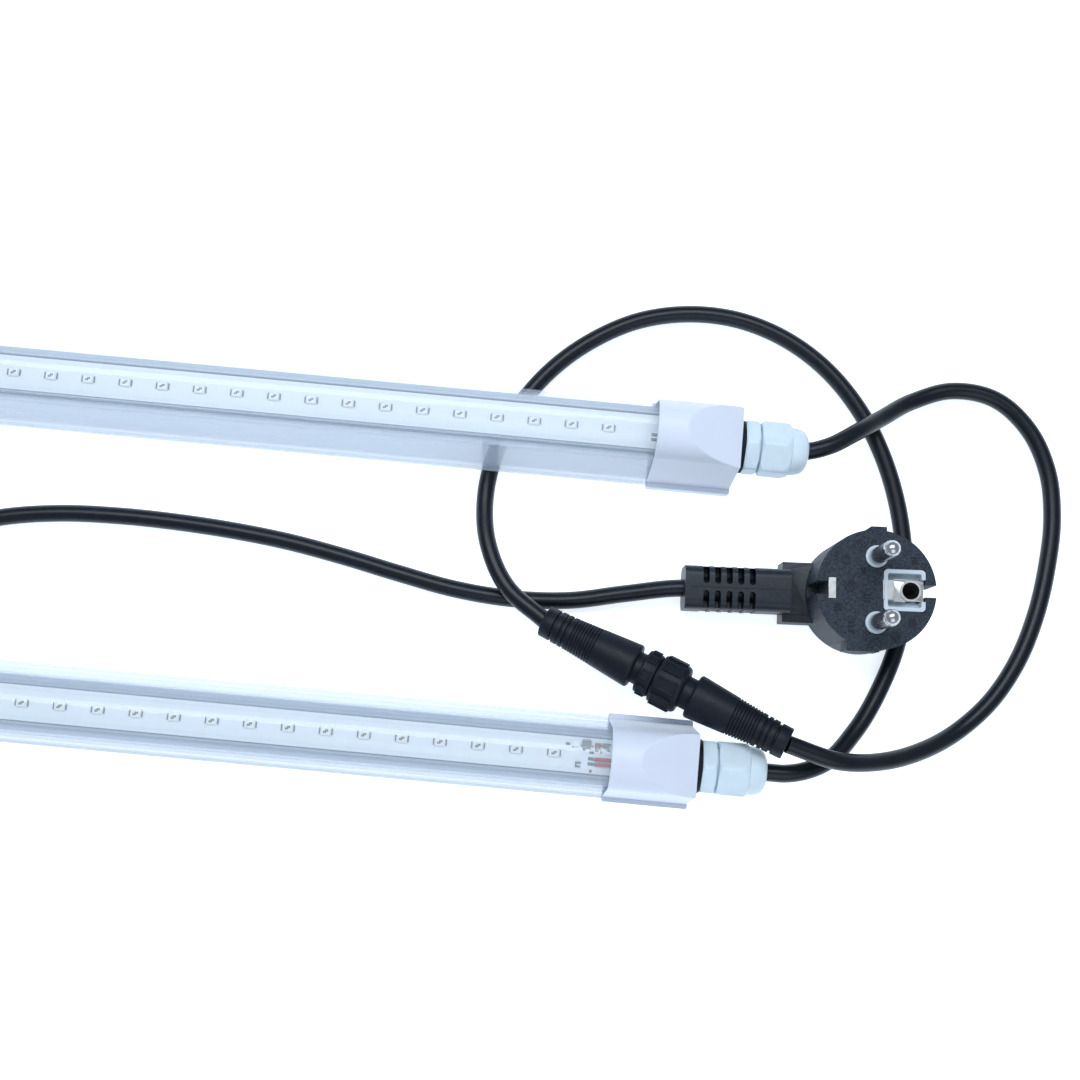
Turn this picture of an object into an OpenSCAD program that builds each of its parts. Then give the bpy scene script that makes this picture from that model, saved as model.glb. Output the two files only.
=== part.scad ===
// Linked pair of LED light tubes: two clear tubes with end caps and cable glands,
// joined by link cords through a screw-coupled waterproof connector, with one mains lead and plug.
// The tubes run along X, +Z is up, and the origin lies on the floor midway between them.

/* [Tubes] */
// Length of a tube over its two end caps
tube_l = 600; // [590:5:600]
// Distance of each tube's axis from the middle of the pair
tube_y = 47; // [46:0.5:48]
// Height at which the far tube rests on the cords that pass under it
tube_a_z = 4.2; // [4.2:0.1:5]
// How far the near tube is set back along X
tube_b_shift = -5; // [-6:0.5:-5]
// Height of the lens arc's centre above the cap's base
lens_z = 25; // [24.5:0.1:25.5]
// Radius of the housing's lens arc
lens_r = 8.2; // [8.1:0.05:8.2]
// Wall of the housing
housing_wall = 1; // [0.9:0.1:1.1]

/* [Light strip] */
// Width of the circuit board
board_w = 10; // [9.6:0.1:10]
// Spacing of the LEDs along the board
led_pitch = 10.8; // [10.7:0.05:10.9]
// Number of LEDs in each tube
led_count = 49; // [40:1:49]
// Distance from the right cap to the last LED's centre in the far tube
led_gap_a = 13.4; // [12:0.2:15]
// The same distance in the near tube, where the driver parts sit beyond it
led_gap_b = 15.6; // [15:0.2:17]

/* [End caps and glands] */
// Length of an end cap
cap_l = 25; // [24:0.5:25]
// Radius of the cap's round top
cap_r = 8.9; // [8.9:0.1:9.2]
// Length of the flat ramp at the cap's end
ramp_l = 16.5; // [15.5:0.5:16.5]
// Height of the gland's axis above the cap's base
gland_z = 13; // [12.8:0.1:13.2]
// Width of the gland body across its flats
gland_body_af = 14.8; // [14.4:0.1:15]
// Width of the gland nut across its flats
gland_nut_af = 15.2; // [14.8:0.1:15.4]

/* [Cords] */
// Diameter of every cord
cord_d = 5.2; // [5:0.1:5.2]
// Radius of the mains coil at the middle of its turns
coil_r = 28.5; // [27:0.5:28.5]
// Thickness of the straps that hold the coil
tie_t = 0.8; // [0.6:0.1:1]

/* [Connector] */
// Radius of the connector's barrels at their inner ends
barrel_r = 6.65; // [6.4:0.05:6.8]
// Radius of the coupling nut over its grips
coupling_r = 7.6; // [7.4:0.1:7.8]

/* [Mains plug] */
// Height of the plug's face above the floor
plug_h = 25; // [24:0.5:26]
// Radius of the plug's face
plug_r = 17.25; // [17:0.25:17.5]
// Turn of the plug about the vertical
plug_turn = 3; // [2:0.5:4]

/* [Hidden] */

$fn = 96;
eps = 0.01;

// Housing and cap sections
housing_base = 1.2;
housing_lip_top = 3.7;
housing_foot_y = 11.2;
housing_lip_y = 12.1;
shelf_top = 20.5;
shelf_t = 1.1;
floor_t = 1.2;
rail_y = 5.2;
rail_w = 0.8;
rail_h = 1.9;
cap_lip_top = 4.4;
cap_foot_y = 11.9;
cap_lip_y = 13;
cap_fit = 0.1;
socket_l = 8;
cap_end_wall = 2.2;
chamber_y = 8.1;
chamber_z = [3, 23.6];
housing_l = tube_l - 2 * (cap_l - socket_l);
cap_top = lens_z + cap_r;

// Light strip
board_t = 1.2;
board_l = housing_l - 4;
board_top = shelf_top + board_t;
led_size = [3.5, 2.8, 0.8];
wire_r = 0.5;

// Gland, as distances from the cap's end face
gasket_l = 1.9;
gland_flange_end = 6;
gland_thread_start = -9;
gland_thread_r = 6.2;
gland_neck_end = 14;
gland_neck_r = 5.9;
gland_bore_r = 3.4;
seal_r = 4.6;
seal_end = 18;
locknut_t = 3;
nut_start = 6.6;
nut_hex_end = 15.5;
nut_dome_r = 5.4;
nut_dome_base_r = 7;
nut_bore_r = 5.95;
nut_cavity_end = 18.2;
nut_mouth_r = 3.3;

// Coil straps
tie_w = 9;
tie_turns = [20, 140];

// Connector, as distances along its axis from the end of its lower half
con_start = [248.5, -9, 9.5];
con_end = [320, -38.5, 22.5];
con_vec = con_end - con_start;
con_l = norm(con_vec);
con_yaw = atan2(con_vec[1], con_vec[0]);
con_pitch = asin(con_vec[2] / con_l);
barrel_l = 30;
cord_end_r = 4.7;
con_neck_r = 4.8;
flange = [32.2, 36.6];
flange_r = 6.5;
coupling = [37, 45.6];
thread_end = 43.4;
thread_r = 5.4;
insert_start = 38.4;
insert_r = 3.5;
contact_y = 1.6;

// Mains plug, from the centre of its face's shadow on the floor
plug_at = [342, 7.5, 0];
lug_z = 17;
pin_y = 9.5;
pin_r = 2.4;
pin_l = 19;
pin_root_r = 2;
pin_start = 0.45;
pin_root_z = 12;
collar_r = 3.2;
arm_end = -53.5;
arm_size = [13, 13];
arm_z = 7.6;
arm_core_r = 3.7;
arm_top_end = -22.3;
slot_count = 5;
slot_pitch = 3.4;
slot_w = 1.8;
earth_x = 10;
earth_r = 2.45;
earth_bush_z = 10;
frame_x = 8;
frame_w = 12;

// Cord routes: round points chosen along the way each cord lies
a_exit_z = tube_a_z + gland_z;
link_a_route = [
    [318, 47, a_exit_z], [322, 47.7, 17.3], [327.4, 49.7, 17.2], [335.2, 54.8, 15.1], [344.5, 61.8, 9],
    [354.5, 69, 3.9], [367.5, 74, 2.7], [380.3, 72.6, 2.6], [391, 64.2, 2.6], [397.4, 51.9, 2.6],
    [399.6, 37, 2.6], [398.6, 22, 2.6], [395.8, 6.9, 2.6], [390.8, -7.6, 2.6], [383.3, -20.2, 2.6],
    [373.1, -30.3, 3.6], [361.5, -36.9, 8.5], [348.4, -41, 14.7], [334.6, -41.9, 20.9], con_end
];
link_b_route = [
    [313, -47, 13], [316.5, -47, 13], [321.6, -46.9, 12.9], [332.5, -43.3, 11], [342.5, -33, 6],
    [349.8, -19.9, 3.1], [354.5, -5.5, 2.6], [356, 9.5, 2.6], [354.7, 25, 2.6], [351.3, 40, 2.6],
    [345.7, 54, 2.6], [337.5, 67, 2.6], [326.7, 78, 2.6], [313.5, 86, 2.6], [298.8, 90.3, 2.6],
    [283.5, 90.5, 2.6], [269, 87, 2.6], [255.7, 79.7, 2.6], [244, 69.5, 2.6], [235, 57, 2.6],
    [229.3, 42.9, 2.6], [227.1, 27.5, 2.9], [229.3, 13.1, 5.9], [236.3, 0.2, 8.1], con_start
];
tail_route = [
    [-318, 47, a_exit_z], [-322, 46.9, 17.3], [-327.7, 46.9, 17.2], [-338.4, 49.7, 14.7],
    [-349, 58.3, 7.9], [-357.8, 69.6, 3.3], [-362, 83, 2.6], [-358.5, 96.5, 2.6], [-348, 106, 2.6],
    [-334, 108.8, 2.6], [-319.5, 105, 2.6], [-305.5, 96, 2.6], [-291.5, 83.2, 2.6], [-277, 68.5, 2.6],
    [-262, 53.5, 2.6], [-245, 38.5, 2.6], [-225, 25.5, 2.6], [-200, 14.5, 2.6], [-160, 2, 2.6],
    [-110, -11.5, 2.6], [-70, -22.2, 2.6], [-40, -28.6, 2.8], [-20, -30.6, 3.2], [-4, -31, 3.4]
];
lead_route = [
    [8, -30, 13.6], [22, -25, 11.4], [37, -16.2, 5.8], [51, -6.3, 2.9], [66, 2, 2.6],
    [82.5, 7.5, 2.6], [99.5, 10.3, 2.6], [117, 11.2, 2.6], [134.5, 11, 2.6], [152, 10, 2.6],
    [169, 8.2, 2.6], [186.5, 5.2, 2.6], [203.5, 1.7, 2.6], [220.5, -1.4, 2.6], [238, -2.7, 2.6],
    [255.5, -1.6, 2.8], [272, 1.8, 4.8], arm_mouth()
];

function arm_mouth() = plug_at + [arm_end * cos(plug_turn), arm_end * sin(plug_turn), arm_z];

// ---------- placing ----------

module far_tube() {
    translate([0, tube_y, tube_a_z]) children();
}

module near_tube() {
    translate([tube_b_shift, -tube_y, 0]) children();
}

// A cap or gland is drawn for the right end and turned round for the left
module at_end(side) {
    rotate([0, 0, side > 0 ? 0 : 180]) children();
}

// Extrudes a (y, z) outline along X
module along_x(x0, l) {
    translate([x0, 0, 0]) rotate([90, 0, 90]) linear_extrude(l) children();
}

// Revolves a (radius, distance) outline about the gland's axis at the right end
module about_gland() {
    translate([tube_l / 2, 0, gland_z]) rotate([0, 90, 0]) rotate_extrude() children();
}

module gland_hex(across_flats, from, to, turn = 0) {
    translate([tube_l / 2 + from, 0, gland_z]) rotate([turn, 0, 0]) rotate([0, 90, 0])
        cylinder(d = across_flats / cos(30), h = to - from, $fn = 6);
}

module gland_rod(r, from, to) {
    translate([tube_l / 2 + from, 0, gland_z]) rotate([0, 90, 0]) cylinder(r = r, h = to - from);
}

module on_connector() {
    translate(con_start) rotate([0, 90 - con_pitch, con_yaw]) children();
}

module on_plug() {
    translate(plug_at) rotate([0, 0, plug_turn]) children();
}

// ---------- tubes ----------

// Arched top over flaring walls and flat base lips, from x0 along X
module tube_solid(x0, l, r, foot_y, lip_y, base, lip_top) {
    along_x(x0, l) translate([0, lens_z]) circle(r);
    along_x(x0, l) polygon([
        [-r, lens_z], [r, lens_z], [foot_y, lip_top], [lip_y, lip_top],
        [lip_y, base], [-lip_y, base], [-lip_y, lip_top], [-foot_y, lip_top]
    ]);
}

// Inner half width of the flaring wall at height z
function inner_y(z) = lens_r - housing_wall
    + (lens_z - z) / (lens_z - housing_lip_top) * (housing_foot_y - lens_r);

// Four-sided hollow between two heights, within the flaring walls
module wall_hollow(x0, l, low, high) {
    along_x(x0, l) polygon([
        [-inner_y(high), high], [inner_y(high), high], [inner_y(low), low], [-inner_y(low), low]
    ]);
}

module housing() {
    x0 = -housing_l / 2;
    difference() {
        tube_solid(x0, housing_l, lens_r, housing_foot_y, housing_lip_y, housing_base, housing_lip_top);
        // light chamber above the shelf
        along_x(x0 - 1, housing_l + 2) intersection() {
            translate([0, lens_z]) circle(lens_r - housing_wall);
            translate([-lens_r, shelf_top]) square([2 * lens_r, 2 * lens_r]);
        }
        wall_hollow(x0 - 1, housing_l + 2, shelf_top, lens_z);
        // duct below the shelf
        wall_hollow(x0 - 1, housing_l + 2, housing_base + floor_t, shelf_top - shelf_t);
    }
    // rails that hold the board's edges
    for (side = [-1, 1])
        translate([x0, side > 0 ? rail_y : -rail_y - rail_w, shelf_top - 0.2])
            cube([housing_l, rail_w, rail_h + 0.2]);
}

module led_board() {
    translate([-board_l / 2, -board_w / 2, shelf_top]) cube([board_l, board_w, board_t]);
}

function led_x(i, gap) = tube_l / 2 - cap_l - gap - i * led_pitch;

module leds(gap) {
    for (i = [0 : led_count - 1])
        translate([led_x(i, gap) - led_size[0] / 2, -led_size[1] / 2, board_top]) cube(led_size);
}

// Rectifier, driver chips, fuse and resistors on the board's end
module driver_parts() {
    end_x = tube_l / 2 - cap_l;
    parts = [
        [-9.5, 3, 2.6, 2.2, 1], [-6.2, 3.1, 2, 1.3, 0.7], [-3.2, 3, 2.4, 2.4, 1.1],
        [0.6, 3.1, 2.6, 1.6, 0.9], [-8.6, -2.6, 1.6, 2, 0.7], [0.6, -4.3, 1, 1, 0.6]
    ];
    for (p = parts)
        translate([end_x + p[0] - p[2] / 2, p[1] - p[3] / 2, board_top]) cube([p[2], p[3], p[4]]);
}

// Two cores from the board's solder pads down through the cap into the gland
module feed_wires(start) {
    end_x = tube_l / 2 - cap_l;
    z_board = board_top + wire_r + 0.1;
    for (side = [-1, 1])
        swept([
            [end_x + start, side * 0.6 - 1.3, z_board], [end_x + 7, side * 0.7 - 1.2, z_board],
            [end_x + 10, side * 0.9 - 0.9, z_board - 1.8], [end_x + 12.5, side * 1.1 - 0.4, gland_z + 4.5],
            [end_x + 16, side * 1.1, gland_z + 0.6], [tube_l / 2 - 2, side * 1.1, gland_z],
            [tube_l / 2 + gland_flange_end, side * 1.1, gland_z]
        ], wire_r, 8);
}

// ---------- caps and glands ----------

module cap(with_gland) {
    inner_x = tube_l / 2 - cap_l;
    step_x = inner_x + socket_l;
    wall_x = tube_l / 2 - cap_end_wall;
    ramp_x = tube_l / 2 - ramp_l;
    difference() {
        tube_solid(inner_x, cap_l, cap_r, cap_foot_y, cap_lip_y, 0, cap_lip_top);
        // flat ramp down to the end face
        rotate([90, 0, 0]) linear_extrude(4 * cap_r, center = true)
            polygon([
                [ramp_x, cap_top], [tube_l / 2, lens_z],
                [tube_l / 2 + 1, lens_z - cap_r / ramp_l], [tube_l / 2 + 1, cap_top + 1],
                [ramp_x, cap_top + 1]
            ]);
        // socket for the housing
        tube_solid(inner_x - 1, socket_l + 1, lens_r + cap_fit, housing_foot_y + cap_fit,
                   housing_lip_y + cap_fit, housing_base - cap_fit, housing_lip_top + cap_fit);
        // wiring chamber
        translate([step_x - eps, -chamber_y, chamber_z[0]])
            cube([wall_x - step_x + eps, 2 * chamber_y, chamber_z[1] - chamber_z[0]]);
        if (with_gland)
            gland_rod(gland_thread_r + 0.15, -cap_end_wall - 1, 1);
    }
}

module gasket() {
    difference() {
        gland_rod(7.8, 0, gasket_l);
        gland_rod(gland_thread_r + 0.1, -1, gasket_l + 1);
    }
}

module gland_body() {
    difference() {
        union() {
            // hexagonal flange with chamfered corners
            intersection() {
                gland_hex(gland_body_af, gasket_l, gland_flange_end, 30);
                about_gland() polygon([
                    [0, gasket_l], [7.9, gasket_l], [8.4, gasket_l + 0.6],
                    [8.4, gland_flange_end - 0.6], [7.9, gland_flange_end], [0, gland_flange_end]
                ]);
            }
            gland_rod(gland_thread_r, gland_thread_start, gasket_l + eps);
            gland_rod(gland_neck_r, gland_flange_end - eps, gland_neck_end);
        }
        gland_rod(gland_bore_r, gland_thread_start - 1, gland_neck_end + 1);
        gland_rod(seal_r + 0.1, gland_flange_end, gland_neck_end + 1);
    }
}

module gland_locknut() {
    difference() {
        gland_hex(15.6, -cap_end_wall - locknut_t, -cap_end_wall);
        gland_rod(gland_thread_r + 0.05, -cap_end_wall - locknut_t - 1, -cap_end_wall + 1);
    }
}

module gland_seal() {
    difference() {
        gland_rod(seal_r, gland_flange_end, seal_end);
        gland_rod(1.9, gland_flange_end - 1, seal_end + 1);
    }
}

module gland_nut() {
    dome_r0 = nut_dome_base_r - nut_dome_r;
    difference() {
        union() {
            intersection() {
                gland_hex(gland_nut_af, nut_start, nut_hex_end);
                about_gland() polygon([
                    [0, nut_start], [8.1, nut_start], [8.8, nut_start + 0.7],
                    [8.8, nut_hex_end - 1.2], [7.6, nut_hex_end], [0, nut_hex_end]
                ]);
            }
            about_gland() {
                translate([0, nut_hex_end - eps]) square([dome_r0, nut_dome_r]);
                intersection() {
                    translate([dome_r0, nut_hex_end - eps]) circle(nut_dome_r);
                    translate([0, nut_hex_end - eps]) square([nut_dome_base_r, nut_dome_r]);
                }
            }
        }
        gland_rod(nut_bore_r, nut_start - 1, gland_neck_end + 0.2);
        gland_rod(seal_r + 0.4, nut_start - 1, nut_cavity_end);
        gland_rod(nut_mouth_r, nut_start - 1, nut_hex_end + nut_dome_r + 1);
    }
}

// ---------- cords ----------

function unit(v) = v / norm(v);
function heading(p, i) = unit(p[min(i + 1, len(p) - 1)] - p[max(i - 1, 0)]);
function ring(p, i, r, n) =
    let (t = heading(p, i), side = unit(cross([0, 0, 1], t)), up = cross(t, side))
    [for (k = [0 : n - 1]) p[i] + r * (cos(360 * k / n) * side + sin(360 * k / n) * up)];

// Sweeps a round tube of radius r with n sides along the route p
module swept(p, r, n) {
    last = (len(p) - 1) * n;
    polyhedron(
        points = [for (i = [0 : len(p) - 1]) each ring(p, i, r, n)],
        faces = concat(
            [[for (k = [0 : n - 1]) k]],
            [for (i = [0 : len(p) - 2], k = [0 : n - 1])
                each [[i * n + k, (i + 1) * n + k, i * n + (k + 1) % n],
                      [i * n + (k + 1) % n, (i + 1) * n + k, (i + 1) * n + (k + 1) % n]]],
            [[for (k = [n - 1 : -1 : 0]) last + k]]
        )
    );
}

// Outer shape of the mains coil: four turns, two wide and two high
module mains_coil() {
    translate([0, 0, tie_t]) rotate_extrude() {
        translate([coil_r - cord_d, cord_d / 2]) square([2 * cord_d, cord_d]);
        translate([coil_r - cord_d / 2, 0]) square([cord_d, 2 * cord_d]);
        for (x = [-1, 1], z = [1, 3])
            translate([coil_r + x * cord_d / 2, z * cord_d / 2]) circle(cord_d / 2);
    }
}

// Straps round all four turns, clear of where the turns cross over
module coil_ties() {
    // the turns curve within the strap's width, so its hollow is wider than they are
    inner = [2 * cord_d + 0.9, 2 * cord_d + 0.1];
    outer = inner + [2 * tie_t, 2 * tie_t - 0.1];
    for (turn = tie_turns) rotate([0, 0, turn])
        translate([coil_r - 0.2, 0, outer[1] / 2]) rotate([90, 0, 0])
            linear_extrude(tie_w, center = true) difference() {
                rounded_rect(outer[0], outer[1], cord_d / 2 + tie_t - 1);
                rounded_rect(inner[0], inner[1], cord_d / 2 - 1);
            }
}

// ---------- connector ----------

// One overmoulded barrel, from its cord end to its inner end, in (radius, distance)
module barrel_profile() {
    difference() {
        polygon([
            [0, 0], [cord_end_r - 0.4, 0], [cord_end_r, 0.4], [cord_end_r + 0.35, 9.2],
            [barrel_r, barrel_l - 0.5], [barrel_r - 0.5, barrel_l], [0, barrel_l]
        ]);
        // three deep grooves part the end rings, then eight fine ones make the flexing ribs
        for (s = [3.6, 7.8, 10.4]) translate([cord_end_r - 0.6, s]) square([2, 0.5]);
        for (i = [0 : 7]) translate([cord_end_r + 0.15 + 0.07 * i, 11.5 + 0.9 * i]) square([2, 0.3]);
    }
}

module connector_socket_half() {
    difference() {
        union() {
            rotate_extrude() barrel_profile();
            cylinder(r = con_neck_r, h = flange[0] + eps);
            translate([0, 0, flange[0]]) cylinder(r = flange_r, h = flange[1] - flange[0]);
            cylinder(r = thread_r, h = thread_end);
            // small raised squares round the flange
            for (a = [0 : 45 : 315]) rotate([0, 0, a])
                translate([flange_r - 0.5, -1.2, flange[0] + 0.9]) cube([0.9, 2.4, 2.4]);
        }
        translate([0, 0, insert_start - 0.4]) cylinder(r = insert_r + 0.1, h = 20);
        // holes that hold the contact sleeves
        for (side = [-1, 1])
            translate([0, side * contact_y, 30]) cylinder(r = 0.85, h = 20, $fn = 32);
    }
}

module connector_plug_half() {
    difference() {
        union() {
            translate([0, 0, con_l]) mirror([0, 0, 1]) rotate_extrude() barrel_profile();
            translate([0, 0, thread_end]) cylinder(r = con_neck_r, h = con_l - barrel_l - thread_end + eps);
            // shoulder that keeps the coupling nut on
            translate([0, 0, thread_end]) cylinder(r = 5.35, h = 0.4);
            translate([0, 0, insert_start]) cylinder(r = insert_r, h = thread_end - insert_start + eps);
        }
        // groove for the O-ring
        translate([0, 0, 41]) difference() {
            cylinder(r = insert_r + 1, h = 1);
            translate([0, 0, -1]) cylinder(r = 2.9, h = 3);
        }
        for (side = [-1, 1])
            translate([0, side * contact_y, insert_start - 1]) cylinder(r = 0.55, h = 12, $fn = 32);
    }
}

module connector_oring() {
    translate([0, 0, 41.5]) rotate_extrude() translate([3.24, 0]) circle(r = 0.33, $fn = 24);
}

module connector_pins() {
    for (side = [-1, 1])
        translate([0, side * contact_y, 33.5]) cylinder(r = 0.5, h = 15, $fn = 32);
}

module connector_sleeves() {
    for (side = [-1, 1])
        translate([0, side * contact_y, 30]) difference() {
            cylinder(r = 0.8, h = insert_start - 30.4, $fn = 32);
            translate([0, 0, 3]) cylinder(r = 0.55, h = 20, $fn = 32);
        }
}

module coupling_nut() {
    l = coupling[1] - coupling[0];
    translate([0, 0, coupling[0]]) difference() {
        union() {
            rotate_extrude() polygon([
                [0, 0], [coupling_r - 0.6, 0], [coupling_r - 0.4, 0.3],
                [coupling_r - 0.4, l - 1.4], [coupling_r - 1.2, l], [0, l]
            ]);
            // raised grips
            for (a = [0 : 45 : 315]) rotate([0, 0, a])
                translate([coupling_r - 1, -1.7, 1.2]) cube([1, 3.4, l - 3.2]);
        }
        translate([0, 0, -1]) cylinder(r = thread_r + 0.35, h = l - 0.8);
        translate([0, 0, -1]) cylinder(r = con_neck_r + 0.35, h = l + 2);
    }
}

// ---------- mains plug ----------

module rounded_rect(w, h, r) {
    square([w - 2 * r, h], center = true);
    square([w, h - 2 * r], center = true);
    for (x = [-1, 1], y = [-1, 1])
        translate([x * (w / 2 - r), y * (h / 2 - r)]) circle(r);
}

module plug_arm() {
    difference() {
        translate([0, 0, arm_z])
            along_x(arm_end, -arm_end - 8) rounded_rect(arm_size[0], arm_size[1], 3);
        // flexing slots down to the core round the cord
        difference() {
            for (i = [0 : slot_count - 1], side = [-1, 1], end = [-1, 1])
                translate([arm_end + 6.2 + i * slot_pitch, side * 1.9, arm_z + (end > 0 ? 0.8 : -8)]) {
                    translate([-slot_w / 2, side > 0 ? 0 : -4.1, 0]) cube([slot_w, 4.1, 7.2]);
                    cylinder(r = slot_w / 2, h = 7.2, $fn = 32);
                }
            translate([arm_end, 0, arm_z]) rotate([0, 90, 0]) cylinder(r = arm_core_r, h = 40);
        }
        // step down to the head
        translate([arm_top_end, -10, arm_z + 1.5]) cube([20, 20, 10]);
        // shallow waves along the sides, between the ribs
        for (i = [0 : slot_count - 1], side = [-1, 1])
            translate([arm_end + 5.1 + i * slot_pitch, side > 0 ? 6.2 : -7.2, 0]) cube([2.2, 1, 20]);
    }
    translate([-24, -9, 0]) cube([16, 18, 8.5]);
}

module plug_head() {
    cylinder(r1 = plug_r - 0.6, r2 = plug_r, h = 1.2);
    translate([0, 0, 1.2 - eps]) cylinder(r = plug_r, h = plug_h - 1.2 + eps);
    // guide lugs beside the pins
    translate([0, 0, lug_z]) linear_extrude(plug_h - lug_z) {
        polygon([[-5, 14], [-5, 15.6], [-1.6, 18.2], [2.9, 18.2], [2.9, 14]]);
        polygon([[-8.2, -13], [-8.5, -17.8], [0.9, -17.9], [0.9, -13]]);
    }
}

module plug_body() {
    difference() {
        union() {
            plug_head();
            plug_arm();
        }
        // sloping back that leaves room under the outer half
        rotate([90, 0, 0]) linear_extrude(50, center = true)
            polygon([[1, -1], [1, 0], [18.7, 15], [18.7, -1]]);
        // side recesses for the earth clips
        translate([13.8, -1.75, 0]) cube([6, 3.5, plug_h + 1]);
        translate([-19.8, -1.9, 11]) cube([6, 3.8, plug_h]);
        translate([12.9, -3.1, 15]) cube([1, 6.2, plug_h]);
        translate([-13.9, -3.1, 12]) cube([2.4, 6.2, plug_h]);
        // pocket for the earth frame and the well of the earth socket
        translate([frame_x - frame_w / 2, -frame_w / 2, plug_h - 4]) cube([frame_w, frame_w, 5]);
        translate([earth_x, 0, earth_bush_z]) cylinder(r = earth_r + 0.65, h = plug_h);
        for (side = [-1, 1]) translate([0, side * pin_y, 0]) {
            translate([0, 0, pin_root_z]) cylinder(r = pin_root_r + 0.02, h = plug_h);
            translate([0, 0, plug_h - 1.2]) cylinder(r = collar_r, h = 2);
        }
    }
}

module plug_pin(side) {
    translate([0, side * pin_y, 0]) {
        translate([0, 0, pin_root_z]) cylinder(r = pin_root_r, h = plug_h + pin_start - pin_root_z + eps);
        translate([0, 0, plug_h + pin_start]) cylinder(r = pin_r, h = pin_l - pin_r - pin_start);
        translate([0, 0, plug_h + pin_l - pin_r]) sphere(r = pin_r);
    }
}

module plug_collars() {
    for (side = [-1, 1]) translate([0, side * pin_y, plug_h - 1.2]) difference() {
        cylinder(r = collar_r, h = 1.6);
        translate([0, 0, -1]) cylinder(r = pin_root_r + 0.02, h = 4);
    }
}

module plug_earth_frame() {
    translate([frame_x, 0, plug_h - 4]) difference() {
        linear_extrude(4.4) rounded_rect(frame_w, frame_w, 1.2);
        translate([0, 0, 0.8]) linear_extrude(5) rounded_rect(frame_w - 2.4, frame_w - 2.4, 0.6);
        translate([earth_x - frame_x, 0, -1]) cylinder(r = earth_r + 0.7, h = 5);
        translate([frame_w / 2 - 2, -3.1, -1]) cube([3, 6.2, 7]);
    }
}

// Folded strip with the socket bush for the earth pin
module plug_earth_socket() {
    difference() {
        union() {
            translate([earth_x, 0, earth_bush_z]) cylinder(r = earth_r + 0.6, h = plug_h - earth_bush_z - 0.6);
            translate([frame_x - 4.6, -3, plug_h - 1.6]) cube([10.3, 6, 0.6]);
            translate([13.1, -3, plug_h - 9.5]) cube([0.6, 6, 8.5]);
        }
        translate([earth_x, 0, earth_bush_z - 1]) cylinder(r = earth_r, h = plug_h);
    }
}

module plug_earth_clip() {
    translate([-13.8, -3, 12]) cube([0.6, 6, plug_h - 12 + 0.2]);
    translate([-13.8, -3, plug_h - 0.4]) cube([2.2, 6, 0.6]);
}

// ---------- nodes ----------

clear = [0.85, 0.92, 0.97, 0.4];
cap_white = [0.92, 0.92, 0.96];
gland_white = [0.85, 0.92, 0.93];
black = [0.1, 0.11, 0.13];
metal = [0.72, 0.74, 0.76];

color(clear) far_tube() housing();  // housing_a
color(clear) near_tube() housing();  // housing_b
color("white") far_tube() led_board();  // led_board_a
color("white") near_tube() led_board();  // led_board_b
color("lightyellow") far_tube() leds(led_gap_a);  // leds_a
color("lightyellow") near_tube() leds(led_gap_b);  // leds_b
color("dimgray") far_tube() at_end(-1) driver_parts();  // driver_parts_a
color("dimgray") near_tube() driver_parts();  // driver_parts_b
color("red") far_tube() feed_wires(1);  // feed_wires_a_right
color("red") far_tube() at_end(-1) feed_wires(-4);  // feed_wires_a_left
color("red") near_tube() feed_wires(-4);  // feed_wires_b
color(cap_white) far_tube() cap(true);  // cap_a_right
color(cap_white) far_tube() at_end(-1) cap(true);  // cap_a_left
color(cap_white) near_tube() cap(true);  // cap_b_right
color(cap_white) near_tube() at_end(-1) cap(false);  // cap_b_left
color(black) far_tube() gasket();  // gasket_a_right
color(black) far_tube() at_end(-1) gasket();  // gasket_a_left
color(black) near_tube() gasket();  // gasket_b
color(gland_white) far_tube() gland_body();  // gland_body_a_right
color(gland_white) far_tube() at_end(-1) gland_body();  // gland_body_a_left
color(gland_white) near_tube() gland_body();  // gland_body_b
color(gland_white) far_tube() gland_locknut();  // gland_locknut_a_right
color(gland_white) far_tube() at_end(-1) gland_locknut();  // gland_locknut_a_left
color(gland_white) near_tube() gland_locknut();  // gland_locknut_b
color(black) far_tube() gland_seal();  // gland_seal_a_right
color(black) far_tube() at_end(-1) gland_seal();  // gland_seal_a_left
color(black) near_tube() gland_seal();  // gland_seal_b
color(gland_white) far_tube() gland_nut();  // gland_nut_a_right
color(gland_white) far_tube() at_end(-1) gland_nut();  // gland_nut_a_left
color(gland_white) near_tube() gland_nut();  // gland_nut_b
color(black) swept(link_a_route, cord_d / 2, 10);  // link_cord_a
color(black) swept(link_b_route, cord_d / 2, 10);  // link_cord_b
color(black) swept(tail_route, cord_d / 2, 10);  // mains_tail
color(black) mains_coil();
color(black) coil_ties();
color(black) swept(lead_route, cord_d / 2, 10);  // mains_lead
color(black) on_connector() connector_socket_half();
color(black) on_connector() connector_plug_half();
color("gray") on_connector() connector_oring();
color(metal) on_connector() connector_pins();
color(metal) on_connector() connector_sleeves();
color(black) on_connector() coupling_nut();
color([0.2, 0.22, 0.25]) on_plug() plug_body();
color(metal) on_plug() plug_pin(1);  // plug_pin_live
color(metal) on_plug() plug_pin(-1);  // plug_pin_neutral
color([0.8, 0.84, 0.87]) on_plug() plug_collars();
color([0.8, 0.84, 0.87]) on_plug() plug_earth_frame();
color(metal) on_plug() plug_earth_socket();
color(metal) on_plug() plug_earth_clip();
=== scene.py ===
"""Looks for the linked pair of LED light tubes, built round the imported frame."""

import math

import bmesh
import bpy
from mathutils import Matrix, Vector


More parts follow.
